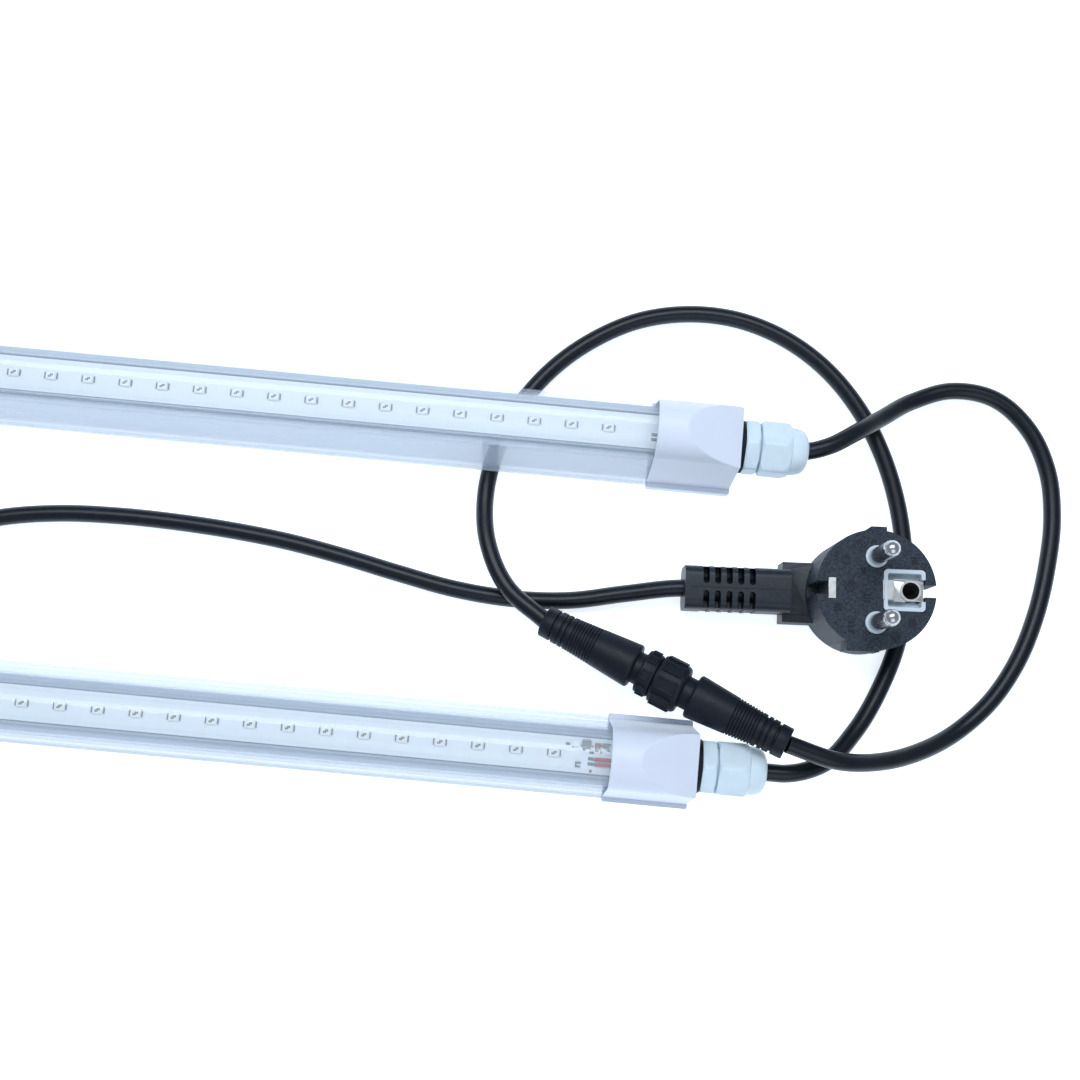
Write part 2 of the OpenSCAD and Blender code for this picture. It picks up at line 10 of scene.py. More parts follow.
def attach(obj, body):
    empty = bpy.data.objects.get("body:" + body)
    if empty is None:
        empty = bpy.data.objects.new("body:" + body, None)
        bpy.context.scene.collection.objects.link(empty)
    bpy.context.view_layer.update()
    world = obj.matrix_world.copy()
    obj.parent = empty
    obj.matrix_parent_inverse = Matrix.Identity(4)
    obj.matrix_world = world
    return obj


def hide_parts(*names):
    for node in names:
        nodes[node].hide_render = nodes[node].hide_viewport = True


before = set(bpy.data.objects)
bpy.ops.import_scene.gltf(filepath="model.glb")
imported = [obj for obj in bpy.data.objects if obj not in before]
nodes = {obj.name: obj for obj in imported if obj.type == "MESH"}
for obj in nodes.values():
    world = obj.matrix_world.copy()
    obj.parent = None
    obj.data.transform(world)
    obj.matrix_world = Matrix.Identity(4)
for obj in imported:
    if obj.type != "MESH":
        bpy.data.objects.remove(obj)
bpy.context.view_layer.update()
MM = 0.001
ROOT = "light"

# ---------- the frame's main sizes, in millimetres ----------
FAR = (0.0, 47.0, 4.2)
NEAR = (-5.0, -47.0, 0.0)
TUBE_L = 600.0
CAP_L = 25.0
LENS_Z = 25.0
LENS_R = 8.2
WALL = 1.0
CAP_R = 8.9
GLAND_Z = 13.0
CORD_D = 5.2
CON_START = Vector((248.5, -9.0, 9.5))
CON_END = Vector((320.0, -38.5, 22.5))
PLUG_AT = Vector((342.0, 7.5, 0.0))
PLUG_TURN = math.radians(3)
PLUG_H = 25.0


# ---------- camera ----------
def make_camera():
    """The camera, looking down on the right-hand end of the pair."""
    data = bpy.data.cameras.new("camera")
    data.lens = 46.667
    data.sensor_width = 36.0
    data.sensor_fit = "HORIZONTAL"
    data.clip_start = 0.01
    camera = bpy.data.objects.new("camera", data)
    bpy.context.scene.collection.objects.link(camera)
    tilt = Matrix.Rotation(math.radians(8.063), 4, "X")
    roll = Matrix.Rotation(math.radians(0.05), 4, "Y")
    turn = Matrix.Rotation(math.radians(5.340), 4, "Z")
    place = Matrix.Translation((0.2452, -0.04362, 0.42215))
    camera.matrix_world = place @ tilt @ roll @ turn
    bpy.context.scene.camera = camera


make_camera()


# ---------- materials ----------
def new_material(
    name,
    colour,
    rough,
    metallic=0.0,
    mottle=0.06,
    mottle_size=3.0,
    rough_spread=0.06,
    grain=0.0,
    grain_size=0.3,
    alpha=1.0,
    specular=0.5,
):
    """Principled material in object space: colour drift, roughness drift and a moulded grain, sizes in mm."""
    material = bpy.data.materials.new(name)
    material.use_nodes = True
    tree = material.node_tree
    shader = tree.nodes["Principled BSDF"]
    shader.inputs["Metallic"].default_value = metallic
    shader.inputs["Alpha"].default_value = alpha
    shader.inputs["Specular IOR Level"].default_value = specular
    shader.inputs["IOR"].default_value = 1.5
    coords = tree.nodes.new("ShaderNodeTexCoord")
    drift = tree.nodes.new("ShaderNodeTexNoise")
    drift.inputs["Scale"].default_value = 1000.0 / mottle_size
    drift.inputs["Detail"].default_value = 5.0
    tree.links.new(coords.outputs["Object"], drift.inputs["Vector"])
    ramp = tree.nodes.new("ShaderNodeValToRGB")
    low = [max(0.0, c * (1 - mottle)) for c in colour]
    high = [min(1.0, c * (1 + mottle)) for c in colour]
    ramp.color_ramp.elements[0].position = 0.3
    ramp.color_ramp.elements[0].color = (*low, 1)
    ramp.color_ramp.elements[1].position = 0.7
    ramp.color_ramp.elements[1].color = (*high, 1)
    tree.links.new(drift.outputs["Fac"], ramp.inputs["Fac"])
    tree.links.new(ramp.outputs["Color"], shader.inputs["Base Color"])
    spread = tree.nodes.new("ShaderNodeMapRange")
    spread.inputs["To Min"].default_value = max(0.0, rough - rough_spread)
    spread.inputs["To Max"].default_value = min(1.0, rough + rough_spread)
    tree.links.new(drift.outputs["Fac"], spread.inputs["Value"])
    tree.links.new(spread.outputs["Result"], shader.inputs["Roughness"])
    if grain > 0:
        fine = tree.nodes.new("ShaderNodeTexNoise")
        fine.inputs["Scale"].default_value = 1000.0 / grain_size
        fine.inputs["Detail"].default_value = 3.0
        tree.links.new(coords.outputs["Object"], fine.inputs["Vector"])
        bump = tree.nodes.new("ShaderNodeBump")
        bump.inputs["Strength"].default_value = grain
        bump.inputs["Distance"].default_value = 0.0001
        tree.links.new(fine.outputs["Fac"], bump.inputs["Height"])
        tree.links.new(bump.outputs["Normal"], shader.inputs["Normal"])
    return material


LENS = new_material(
    "clear_lens", (0.86, 0.93, 1.0), 0.07,
    mottle=0.02, mottle_size=14, alpha=0.13, rough_spread=0.03, specular=1.0,
)
# The walls below the shelf are the lens's own clear plastic, given a darker, denser tint that is painted
# shade.
SHADED_WALLS = new_material(
    "clear_wall_painted_shade", (0.66, 0.75, 0.86), 0.1, mottle=0.02, mottle_size=14, alpha=0.38, rough_spread=0.02
)
# The shelf and the board's side rails: the same clear plastic, darker and denser still, as painted shade.
SHELF = new_material("clear_shelf_painted_shade", (0.6, 0.72, 0.86), 0.14, mottle=0.03, mottle_size=10, alpha=0.55)
BOARD = new_material("board_white", (0.8, 0.87, 0.93), 0.35, mottle=0.02, grain=0.1)
COPPER = new_material("board_tracks", (0.75, 0.82, 0.88), 0.3, mottle=0.03)
LED_BODY = new_material("led_body", (0.86, 0.92, 0.96), 0.4, mottle=0.02)
PHOSPHOR = new_material("led_phosphor", (0.83, 0.87, 0.85), 0.25, mottle=0.05, mottle_size=0.6)
SOLDER = new_material("solder", (0.15, 0.16, 0.19), 0.38, metallic=0.4, mottle=0.1, mottle_size=0.8)
CHIP = new_material("chip_dark", (0.05, 0.05, 0.055), 0.45, grain=0.3)
PART_GREY = new_material("part_grey", (0.2, 0.21, 0.24), 0.4, mottle=0.1, mottle_size=0.8)
PART_BROWN = new_material("part_brown", (0.25, 0.12, 0.07), 0.4, mottle=0.1, mottle_size=0.8)
WIRE_RED = new_material("wire_red", (0.42, 0.0, 0.02), 0.45, mottle=0.08)
CAP = new_material(
    "cap_white", (0.74, 0.79, 0.91), 0.46, mottle=0.015, mottle_size=8, grain=0.06, grain_size=0.25
)
GLAND = new_material(
    "gland_white", (0.69, 0.81, 0.89), 0.44, mottle=0.03, mottle_size=4, grain=0.08, grain_size=0.3
)
SEAL = new_material("seal_black", (0.004, 0.006, 0.01), 0.6, grain=0.2, specular=0.25)
CORD = new_material(
    "cord_black", (0.003, 0.005, 0.011), 0.34,
    mottle=0.15, mottle_size=2, grain=0.12, grain_size=0.6, specular=0.32,
)
TIE = new_material(
    "tie_black", (0.02, 0.02, 0.022), 0.9, mottle=0.3, mottle_size=0.5, grain=0.9, grain_size=0.35
)
CONNECTOR = new_material(
    "connector_black", (0.004, 0.007, 0.014), 0.48,
    mottle=0.15, mottle_size=1.5, grain=0.25, grain_size=0.25, specular=0.26,
)
PLUG = new_material(
    "plug_grey", (0.022, 0.032, 0.047), 0.58,
    mottle=0.8, mottle_size=0.6, grain=1.0, grain_size=0.6, specular=0.3,
)
PLUG_ARM = new_material(
    "plug_arm", (0.009, 0.014, 0.023), 0.42,
    mottle=0.3, mottle_size=1.2, grain=0.3, grain_size=0.4, specular=0.35,
)
METAL = new_material("pin_metal", (0.5, 0.51, 0.53), 0.25, metallic=1.0, mottle=0.05, rough_spread=0.05)
STRIP = new_material("clip_metal", (0.66, 0.66, 0.65), 0.3, metallic=1.0, mottle=0.08, mottle_size=1.5)
PALE = new_material("plug_pale", (0.6, 0.68, 0.74), 0.45, mottle=0.03, grain=0.1)
BRASS = new_material("contact_brass", (0.7, 0.52, 0.22), 0.25, metallic=1.0, mottle=0.05)


# ---------- mesh helpers ----------
def finish_piece(obj, materials, body=ROOT, bevel=0.0, segments=2, smooth=35):
    """Gives a new piece its materials, soft edges and body."""
    for material in materials if isinstance(materials, (list, tuple)) else [materials]:
        obj.data.materials.append(material)
    if bevel > 0:
        soften = obj.modifiers.new("soft_edges", "BEVEL")
        soften.width = bevel * MM
        soften.segments = segments
        soften.limit_method = "ANGLE"
        soften.angle_limit = math.radians(30)
        soften.harden_normals = False
    if obj.type == "MESH":
        for polygon in obj.data.polygons:
            polygon.use_smooth = True
        obj.data.set_sharp_from_angle(angle=math.radians(smooth))
    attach(obj, body)
    return obj


def mesh_object(name, points, faces, place=None, face_materials=None):
    """A mesh from points in mm, moved by the matrix place, which is in mm too."""
    if place is None:
        place = Matrix.Identity(4)
    data = bpy.data.meshes.new(name)
    data.from_pydata([(place @ Vector(p)) * MM for p in points], [], faces)
    if face_materials:
        data.polygons.foreach_set("material_index", face_materials)
    data.update()
    mesh = bmesh.new()
    mesh.from_mesh(data)
    bmesh.ops.remove_doubles(mesh, verts=mesh.verts, dist=1e-7)
    bmesh.ops.recalc_face_normals(mesh, faces=mesh.faces)
    mesh.to_mesh(data)
    mesh.free()
    obj = bpy.data.objects.new(name, data)
    bpy.context.scene.collection.objects.link(obj)
    return obj


def skin(rings, closed_ends=True, loop=False):
    """Points and faces of a tube through rings of equal length."""
    count = len(rings[0])
    points = [p for ring in rings for p in ring]
    faces = []
    steps = len(rings) if loop else len(rings) - 1
    for i in range(steps):
        j = (i + 1) % len(rings)
        for k in range(count):
            m = (k + 1) % count
            faces.append((i * count + k, i * count + m, j * count + m, j * count + k))
    if closed_ends and not loop:
        faces.append(tuple(range(count)))
        faces.append(tuple(reversed(range((len(rings) - 1) * count, len(rings) * count))))
    return points, faces


class Parts:
    """Collects small solids into one mesh, each with its own material index."""

    def __init__(self):
        self.points = []
        self.faces = []
        self.kinds = []

    def add(self, points, faces, kind=0):
        """Adds a solid. The kind is one material index, or a list with one for each face."""
        start = len(self.points)
        self.points += points
        self.faces += [tuple(start + i for i in face) for face in faces]
        self.kinds += kind if isinstance(kind, list) else [kind] * len(faces)

    def box(self, centre, size, kind=0, chamfer=0.0):
        """A box with a chamfered top, centred on its footprint, with centre's z at its base."""
        hx, hy, h = size[0] / 2, size[1] / 2, size[2]
        rings = []
        levels = [(0.0, 0.0), (h - chamfer, 0.0), (h, chamfer)] if chamfer else [(0.0, 0.0), (h, 0.0)]
        for z, inset in levels:
            ring = []
            for sx, sy in ((-1, -1), (1, -1), (1, 1), (-1, 1)):
                x, y = sx * (hx - inset), sy * (hy - inset)
                ring.append((centre[0] + x, centre[1] + y, centre[2] + z))
            rings.append(ring)
        self.add(*skin(rings), kind)

    def build(self, name, place=None):
        return mesh_object(name, self.points, self.faces, place, self.kinds)


def arc(cx, cy, r, start, stop, count):
    """Points on an arc, angles in degrees."""
    angles = [math.radians(start + (stop - start) * i / (count - 1)) for i in range(count)]
    return [(cx + r * math.cos(a), cy + r * math.sin(a)) for a in angles]


def rounded(outline, radius, steps=4):
    """Rounds the corners of a closed outline of (y, z, is_corner) or (y, z) points."""
    result = []
    count = len(outline)
    for i, here in enumerate(outline):
        if len(here) < 3:
            result.append(tuple(here))
            continue
        before = Vector(outline[i - 1][:2])
        after = Vector(outline[(i + 1) % count][:2])
        corner = Vector(here[:2])
        r = min(radius * here[2], (before - corner).length * 0.45, (after - corner).length * 0.45)
        a = corner + (before - corner).normalized() * r
        b = corner + (after - corner).normalized() * r
        for s in range(steps + 1):
            t = s / steps
            result.append(tuple((1 - t) ** 2 * a + 2 * t * (1 - t) * corner + t * t * b))
    return result


def row_place(at, side=1):
    """From a tube's own frame to the part's, turned round for its left end."""
    place = Matrix.Translation(at)
    if side < 0:
        place = place @ Matrix.Rotation(math.pi, 4, "Z")
    return place


# ---------- cords ----------
# Route points in mm. They follow part.scad's routes, with some heights up to 0.12 mm higher. They come from
# scripts that traced and smoothed the cords, and weren't chosen by hand.
LINK_A = [
    (318, 47, 17.2), (322, 47.7, 17.3), (327.4, 49.7, 17.2), (335.2, 54.8, 15.1), (344.5, 61.8, 9),
    (354.5, 69, 3.9), (367.5, 74, 2.7), (380.3, 72.6, 2.6), (391, 64.2, 2.6), (397.4, 51.9, 2.6),
    (399.6, 37, 2.6), (398.6, 22, 2.6), (395.8, 6.9, 2.6), (390.8, -7.6, 2.6), (383.3, -20.2, 2.6),
    (373.1, -30.3, 3.6), (361.5, -36.9, 8.5), (348.4, -41, 14.7), (334.6, -41.9, 20.9), (320, -38.5, 22.5),
]
LINK_B = [
    (313, -47, 13), (316.5, -47, 13), (321.6, -46.9, 12.9), (332.5, -43.3, 11), (342.5, -33, 6),
    (349.8, -19.9, 3.2), (354.5, -5.5, 2.72), (356, 9.5, 2.6), (354.7, 25, 2.6), (351.3, 40, 2.6),
    (345.7, 54, 2.6), (337.5, 67, 2.6), (326.7, 78, 2.6), (313.5, 86, 2.6), (298.8, 90.3, 2.6),
    (283.5, 90.5, 2.6), (269, 87, 2.6), (255.7, 79.7, 2.6), (244, 69.5, 2.6), (235, 57, 2.65),
    (229.3, 42.9, 2.72), (227.1, 27.5, 2.95), (229.3, 13.1, 5.9), (236.3, 0.2, 8.1), (248.5, -9, 9.5),
]
TAIL = [
    (-318, 47, 17.2), (-322, 46.9, 17.3), (-327.7, 46.9, 17.2), (-338.4, 49.7, 14.7), (-349, 58.3, 7.9),
    (-357.8, 69.6, 3.4), (-362, 83, 2.72), (-358.5, 96.5, 2.6), (-348, 106, 2.6), (-334, 108.8, 2.6),
    (-319.5, 105, 2.6), (-305.5, 96, 2.6), (-291.5, 83.2, 2.6), (-277, 68.5, 2.6), (-262, 53.5, 2.6),
    (-245, 38.5, 2.6), (-225, 25.5, 2.6), (-200, 14.5, 2.6), (-160, 2, 2.6), (-110, -11.5, 2.6),
    (-70, -22.2, 2.6), (-40, -28.6, 2.8), (-20, -30.6, 3.2),
]
LEAD = [
    (22, -25, 11.4), (37, -16.2, 5.8), (51, -6.3, 3.0), (66, 2, 2.7), (82.5, 7.5, 2.6), (99.5, 10.3, 2.6),
    (117, 11.2, 2.6), (134.5, 11, 2.6), (152, 10, 2.6), (169, 8.2, 2.6), (186.5, 5.2, 2.6),
    (203.5, 1.7, 2.6), (220.5, -1.4, 2.6), (238, -2.7, 2.6), (255.5, -1.6, 2.8), (272, 1.8, 4.8),
    (288.573, 4.7, 7.6), (294.6, 5.0, 7.6),
]
COIL_LIFT = 0.8
COIL_LOW = COIL_LIFT + CORD_D / 2
COIL_OUT = 31.1
COIL_IN = 25.9
COIL_START = -97.35
COIL_SWEEP = 1463
COIL_STEP = 15
# Where the coil changes, in degrees of winding from its start
GO_IN = (294, 364)
GO_UP = (360 + 273, 360 + 343)
GO_OUT = (720 + 252, 720 + 322)
GO_OVER = (1080 + 232, 1080 + 302)
OVER_INSET = 1.4


def eased(value, start, stop):
    """0 before start, 1 after stop, smooth between."""
    t = min(1.0, max(0.0, (value - start) / (stop - start)))
    return t * t * (3 - 2 * t)


def coil_points():
    """Four turns: in along the floor, up at the inside, out along the top, then a hump over the crossing."""
    points = []
    for a in range(0, COIL_SWEEP, COIL_STEP):
        over = eased(a, *GO_OVER)
        radius = COIL_OUT - (COIL_OUT - COIL_IN) * eased(a, *GO_IN)
        radius += (COIL_OUT - COIL_IN) * eased(a, *GO_OUT)
        radius -= OVER_INSET * over
        z = COIL_LOW + CORD_D * eased(a, *GO_UP)
        z += CORD_D * over
        theta = math.radians(COIL_START + a)
        points.append((radius * math.cos(theta), radius * math.sin(theta), z))
    return points


def cord_curve(name, route):
    """A round cord along one smooth curve through the route."""
    data = bpy.data.curves.new(name, "CURVE")
    data.dimensions = "3D"
    data.bevel_depth = CORD_D / 2 * MM
    data.bevel_resolution = 8
    data.resolution_u = 10
    data.use_fill_caps = True
    spline = data.splines.new("BEZIER")
    spline.bezier_points.add(len(route) - 1)
    places = [Vector(p) * MM for p in route]
    last = len(places) - 1
    for i, point in enumerate(spline.bezier_points):
        before = places[max(i - 1, 0)]
        after = places[min(i + 1, last)]
        if i == 0:
            along = (places[1] - places[0]).normalized()
        elif i == last:
            along = (places[-1] - places[-2]).normalized()
        else:
            near, far = places[i] - before, after - places[i]
            along = (near / near.length_squared + far / far.length_squared).normalized()
        point.co = places[i]
        point.handle_left_type = "FREE"
        point.handle_right_type = "FREE"
        point.handle_left = places[i] - along * (places[i] - before).length / 3
        point.handle_right = places[i] + along * (after - places[i]).length / 3
    obj = bpy.data.objects.new(name, data)
    bpy.context.scene.collection.objects.link(obj)
    return finish_piece(obj, CORD)


link_cord_a = cord_curve("link_cord_a_tube", LINK_A)
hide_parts("link_cord_a")
link_cord_b = cord_curve("link_cord_b_tube", LINK_B)
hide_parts("link_cord_b")
mains_cord = cord_curve("mains_cord_tube", TAIL + coil_points() + LEAD)
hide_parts("mains_tail", "mains_coil", "mains_lead")


# ---------- housings ----------
HOUSING_X = 283.0
SHELF_TOP = 20.5
SHELF_UNDER = 19.4
FLOOR_TOP = 2.4
LIP_TOP = 3.7
FOOT_Y = 11.2


def tube_outline(r, foot, lip, base, lip_top, soft):
    """Closed (y, z) outline: arched top, flaring walls and flat base lips."""
    outline = arc(0, LENS_Z, r, 0, 180, 65)
    outline += [(-foot, lip_top, 0.6), (-lip, lip_top, 1), (-lip, base, 1)]
    outline += [(lip, base, 1), (lip, lip_top, 1), (foot, lip_top, 0.6)]
    return rounded(outline, soft)


def inner_y(z):
    """Half width inside the flaring wall at height z."""
    return LENS_R - WALL + (LENS_Z - z) / (LENS_Z - LIP_TOP) * (FOOT_Y - LENS_R)


def make_housing(name, node, at):
    """The clear tube: outer wall, chamber over the board and duct below, with the board's side rails."""
    outer = tube_outline(LENS_R, FOOT_Y, 12.1, 1.2, LIP_TOP, 0.5)
    chamber = arc(0, LENS_Z, LENS_R - WALL, 0, 180, 65)
    chamber += [(-inner_y(SHELF_TOP), SHELF_TOP), (inner_y(SHELF_TOP), SHELF_TOP)]
    duct = rounded(
        [
            (-inner_y(SHELF_UNDER), SHELF_UNDER, 1), (-inner_y(FLOOR_TOP), FLOOR_TOP, 1),
            (inner_y(FLOOR_TOP), FLOOR_TOP, 1), (inner_y(SHELF_UNDER), SHELF_UNDER, 1),
        ],
        0.6,
    )
    parts = Parts()
    for outline in (outer, chamber, duct):
        rings = [[(x, y, z) for y, z in outline] for x in (-HOUSING_X, HOUSING_X)]
        points, faces = skin(rings, closed_ends=False)
        # Faces above the shelf top take the clear lens; faces below take the darker wall copy, which is
        # painted shade.
        kinds = []
        for face in faces:
            heights = [points[i][2] for i in face]
            kinds.append(0 if min(heights) > SHELF_TOP - 0.2 and max(heights) > SHELF_TOP + 0.1 else 1)
        parts.add(points, faces, kinds)
    # The side rails take the shelf's tint, painted shade along the board's edges.
    for side in (-1, 1):
        parts.box((0, side * 5.65, SHELF_TOP), (2 * HOUSING_X, 0.7, 1.9), 2, 0.15)
    obj = parts.build(name, row_place(at))
    finish_piece(obj, [LENS, SHADED_WALLS, SHELF], smooth=20)
    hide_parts(node)


def make_shelf(name, at):
    """The shelf under the board, tinted darker and denser as painted shade where the walls squeeze the light.
    """
    parts = Parts()
    half = inner_y(SHELF_TOP)
    for side in (-1, 1):
        parts.box((0, side * (half + 5.1) / 2, SHELF_UNDER + 0.05), (2 * HOUSING_X, half - 5.1, 1.0), 0, 0.1)
    obj = parts.build(name, row_place(at))
    finish_piece(obj, SHELF, smooth=20)


make_housing("housing_far", "housing_a", FAR)
make_housing("housing_near", "housing_b", NEAR)
make_shelf("shelf_far", FAR)
make_shelf("shelf_near", NEAR)

# ---------- light strip ----------
BOARD_TOP = 21.7
LED_PITCH = 10.8
LED_COUNT = 49
FAR_LED_GAP = 13.4
NEAR_LED_GAP = 15.6


def make_board(name, node, at):
    """The circuit board with its two long tracks and its rows of small pads."""
    parts = Parts()
    parts.box((0, 0, SHELF_TOP), (562, 10, 1.2), 0, 0.1)
    for side in (-1, 1):
        parts.box((0, side * 3.9, BOARD_TOP - 0.02), (558, 0.5, 0.05), 1)
    for i in range(26):
        x = -270 + i * 21.6
        parts.box((x, 3.0, BOARD_TOP - 0.02), (0.9, 0.6, 0.05), 1)
        parts.box((x + 2.2, -3.0, BOARD_TOP - 0.02), (0.6, 0.6, 0.05), 1)
    obj = parts.build(name, row_place(at))
    finish_piece(obj, [BOARD, COPPER], smooth=20)
    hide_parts(node)


def make_leds(name, node, at, gap):
    """Each LED: package, phosphor window, three dies, and solder at both ends."""
    parts = Parts()
    for i in range(LED_COUNT):
        x = TUBE_L / 2 - CAP_L - gap - i * LED_PITCH
        parts.box((x, 0, BOARD_TOP), (3.1, 2.5, 0.7), 0, 0.3)
        parts.box((x, 0, BOARD_TOP + 0.73), (2.3, 1.9, 0.05), 1)
        for j in (-1, 0, 1):
            parts.box((x + 0.5 * j, 0.25 * j, BOARD_TOP + 0.77), (0.46, 1.0 - 0.35 * abs(j), 0.03), 2)
        for side in (-1, 1):
            parts.box((x + side * 1.8, 0, BOARD_TOP), (0.3, 1.8, 0.4), 2, 0.06)
    obj = parts.build(name, row_place(at))
    finish_piece(obj, [LED_BODY, PHOSPHOR, SOLDER], smooth=20)
    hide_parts(node)


def make_driver(name, node, at, side):
    """Rectifier with its legs, small chips, resistors and a fuse at the board's end."""
    parts = Parts()
    end = TUBE_L / 2 - CAP_L

    def chip(x, y, size, kind):
        parts.box((end + x, y, BOARD_TOP), size, kind, 0.1)

    chip(-9.6, 3.1, (2.2, 1.6, 0.8), 3)
    chip(-6.6, 3.2, (2.6, 2.0, 1.0), 0)
    chip(-3.4, 3.0, (1.6, 1.6, 0.9), 1)
    chip(-1.2, 3.3, (1.8, 1.2, 0.8), 0)
    chip(-11.9, 2.9, (1.2, 0.7, 0.4), 0)
    chip(-8.6, -3.2, (1.5, 0.4, 0.6), 2)
    chip(-8.6, -2.1, (1.5, 0.4, 0.6), 2)
    chip(-9.2, -2.65, (0.4, 1.5, 0.6), 2)
    chip(-0.2, 2.0, (1.0, 0.6, 0.5), 4)
    chip(-5.0, 1.0, (1.3, 0.6, 0.45), 4)
    chip(-2.4, 1.3, (0.7, 0.5, 0.4), 0)
    chip(-4.9, -4.2, (0.7, 0.7, 0.5), 1)
    for i in range(4):
        for edge in (-1, 1):
            chip(-7.5 + 0.6 * i, 3.2 + edge * 1.2, (0.25, 0.45, 0.25), 2)
    for i in range(14):
        kind = (0, 4, 2, 1)[i % 4]
        chip(-10.4 + 0.8 * i, 2.2 + 0.75 * ((i * 3) % 4) / 1.6, (0.45, 0.35 + 0.1 * (i % 3), 0.35), kind)
    for i in range(5):
        chip(-8.8 + 1.7 * i, 1.45 + 0.12 * (i % 2), (0.8, 0.45, 0.35), 2 if i % 2 else 3)
    obj = parts.build(name, row_place(at, side))
    finish_piece(obj, [PART_GREY, PART_BROWN, SOLDER, LED_BODY, CHIP], smooth=20)
    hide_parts(node)


def swept(route, r, count):
    """Points and faces of a round tube along a route."""
    rings = []
    for i, here in enumerate(route):
        ahead = Vector(route[min(i + 1, len(route) - 1)]) - Vector(route[max(i - 1, 0)])
        along = ahead.normalized()
        side = Vector((0, 0, 1)).cross(along).normalized()
        up = along.cross(side)
        ring = []
        for k in range(count):
            a = 2 * math.pi * k / count
            ring.append(tuple(Vector(here) + r * (math.cos(a) * side + math.sin(a) * up)))
        rings.append(ring)
    return skin(rings)


def smooth_route(route, per=6):
    """Catmull-Rom points through a route."""
    result = []
    places = [Vector(p) for p in route]
    last = len(places) - 1
    for i in range(last):
        p0, p1, p2, p3 = places[max(i - 1, 0)], places[i], places[i + 1], places[min(i + 2, last)]
        for s in range(per):
            t = s / per
            result.append(
                0.5 * (2 * p1 + (p2 - p0) * t + (2 * p0 - 5 * p1 + 4 * p2 - p3) * t * t
                       + (3 * p1 - p0 - 3 * p2 + p3) * t ** 3)
            )
    result.append(places[-1])
    return result


def make_wires(name, node, at, side, start):
    """Two cores from their solder joints over the board's end and down into the gland."""
    parts = Parts()
    end = TUBE_L / 2 - CAP_L
    z = BOARD_TOP + 0.6
    for edge in (-1, 1):
        route = smooth_route([
            (end + start, edge * 0.72 - 1.5, z), (end + 7, edge * 0.75 - 1.3, z),
            (end + 10, edge * 0.9 - 0.9, z - 1.8), (end + 12.5, edge * 1.1 - 0.4, 17.5),
            (end + 16, edge * 1.1, 13.6), (end + 23, edge * 1.1, 13), (end + 31, edge * 1.1, 13),
        ])
        parts.add(*swept(route, 0.5, 12), 0)
        tip = [(end + start - 1.3, edge * 0.72 - 1.5, z - 0.35), (end + start, edge * 0.72 - 1.5, z)]
        parts.add(*swept(tip, 0.3, 10), 1)
        parts.box((end + start - 1.1, edge * 0.72 - 1.5, BOARD_TOP - 0.02), (1.6, 0.9, 0.14), 1, 0.05)
    obj = parts.build(name, row_place(at, side))
    finish_piece(obj, [WIRE_RED, SOLDER], smooth=40)
    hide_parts(node)


make_board("board_far", "led_board_a", FAR)
make_board("board_near", "led_board_b", NEAR)
make_leds("led_row_far", "leds_a", FAR, FAR_LED_GAP)
make_leds("led_row_near", "leds_b", NEAR, NEAR_LED_GAP)
make_driver("driver_far", "driver_parts_a", FAR, -1)
make_driver("driver_near", "driver_parts_b", NEAR, 1)
make_wires("wires_far_right", "feed_wires_a_right", FAR, 1, 1)
make_wires("wires_far_left", "feed_wires_a_left", FAR, -1, -4)
make_wires("wires_near", "feed_wires_b", NEAR, 1, -4)

# ---------- end caps ----------
RAMP_L = 16.5
CAP_TOP = LENS_Z + CAP_R


def soft_min(a, b, width):
    """The smaller of two heights, rounded where they meet."""
    h = max(width - abs(a - b), 0.0) / width
    return min(a, b) - h * h * width / 4


def make_cap(name, node, at, side):
    """An end cap: its socket round the tube, then the tube's outline cut down by the sloped end."""
    outline = tube_outline(CAP_R, 11.55, 13.0, 0.0, 4.4, 0.28)
    socket = tube_outline(LENS_R + 0.1, 11.3, 12.2, 1.1, 3.8, 0.4)
    end = TUBE_L / 2
    rings = []

    def ring(points, x, scale=1.0):
        ramp = CAP_TOP - (x - (end - RAMP_L)) / RAMP_L * CAP_R
        shaped = []
        for y, z in points:
            y, z = y * scale, 14 + (z - 14) * scale
            shaped.append((x, y, soft_min(z, ramp, 0.25) if x > end - RAMP_L - 1 else z))
        rings.append(shaped)

    ring(socket, end - CAP_L + 8)
    ring(socket, end - CAP_L + 0.25)
    ring(outline, end - CAP_L, 0.975)
    ring(outline, end - CAP_L + 0.1, 0.988)
    ring(outline, end - CAP_L + 0.35, 0.998)
    ring(outline, end - CAP_L + 0.6)
    for i in range(46):
        ring(outline, end - CAP_L + 1 + i * (CAP_L - 1.6) / 45)
    ring(outline, end - 0.3, 0.995)
    ring(outline, end - 0.08, 0.985)
    ring(outline, end, 0.97)
    obj = mesh_object(name, *skin(rings), row_place(at, side))
    finish_piece(obj, CAP, smooth=4)
    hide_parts(node)


for cap_name, cap_node, cap_at, cap_side in (
    ("cap_far_right", "cap_a_right", FAR, 1),
    ("cap_far_left", "cap_a_left", FAR, -1),
    ("cap_near_right", "cap_b_right", NEAR, 1),
    ("cap_near_left", "cap_b_left", NEAR, -1),
):
    make_cap(cap_name, cap_node, cap_at, cap_side)


# ---------- glands ----------
FLANGE_FLATS = 14.8
NUT_FLATS = 15.2
HEX_TURN = 30


def gland_place(at, side):
    """From (distance out, across, up) about the gland's axis to the part's frame."""
    return row_place(at, side) @ Matrix.Translation((TUBE_L / 2, 0, GLAND_Z))


